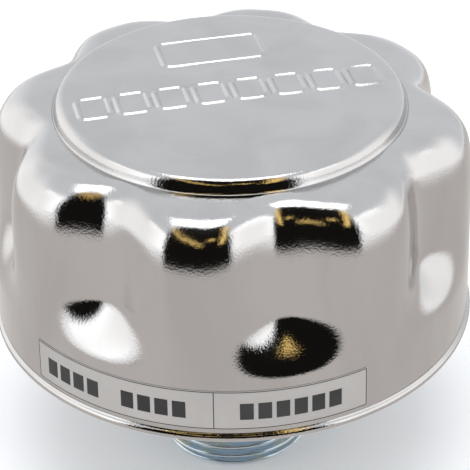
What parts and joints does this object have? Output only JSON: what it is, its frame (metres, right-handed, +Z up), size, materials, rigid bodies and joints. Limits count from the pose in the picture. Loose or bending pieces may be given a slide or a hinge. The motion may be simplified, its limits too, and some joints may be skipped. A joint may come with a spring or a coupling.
{
  "type": "tank air breather",
  "caption": "Screw-in air breather filter for a hydraulic tank, with a fluted chromed steel cap, pleated element, pressure and vacuum valves and a threaded spigot.",
  "frame": {"origin": "on the axis, in the plane of the tank face that the gasket seals on", "axes": "+Z up along the breather's axis, a lobe of the cap towards -Y"},
  "size_m": [0.08, 0.08, 0.0672],
  "materials": {
    "cap_chrome": "bright chrome over a drawn steel grain",
    "label_film": "matt printed adhesive film",
    "blue_zinc": "turned steel, blue zinc plated",
    "nitrile_rubber": "moulded black nitrile rubber",
    "zinc_sheet": "pressed zinc-plated sheet steel",
    "potting_resin": "cast potting resin",
    "filter_paper": "resin-impregnated pleated filter paper",
    "spring_steel": "drawn spring wire",
    "turned_brass": "turned brass"
  },
  "bodies": {
    "housing": {"cap_shell": "cap_chrome", "rating_label": "label_film", "threaded_spigot": "blue_zinc", "tank_gasket": "nitrile_rubber", "base_pan": "zinc_sheet", "clamp_ring": "zinc_sheet", "element_lower_gasket": "nitrile_rubber", "element_lower_end_cap": "zinc_sheet", "element_upper_end_cap": "zinc_sheet", "lower_potting_ring": "potting_resin", "upper_potting_ring": "potting_resin", "element_core_tube": "zinc_sheet", "filter_paper_pleats": "filter_paper", "pleat_seam_clip": "zinc_sheet", "hold_down_spring": "spring_steel", "valve_cage": "zinc_sheet", "pressure_spring": "spring_steel", "splash_baffle": "zinc_sheet", "baffle_snap_ring": "spring_steel"},
    "pressure_valve": {"pressure_valve_plate": "zinc_sheet", "pressure_valve_seal": "nitrile_rubber", "vacuum_spring": "spring_steel"},
    "vacuum_valve": {"vacuum_valve_stem": "turned_brass", "vacuum_valve_seal": "nitrile_rubber", "vacuum_spring_retainer": "turned_brass"}
  },
  "joints": [
    {"name": "pressure_valve_lift", "type": "slide", "parent": "housing", "child": "pressure_valve", "axis": [0, 0, 1], "range_m": [0, 0.0025], "stiffness_N_per_m": 2000, "springref_m": -0.0038, "deforming": ["pressure_spring"]},
    {"name": "vacuum_valve_drop", "type": "slide", "parent": "pressure_valve", "child": "vacuum_valve", "axis": [0, 0, -1], "range_m": [0, 0.0015], "stiffness_N_per_m": 150, "springref_m": -0.0016, "deforming": ["vacuum_spring"]}
  ]
}
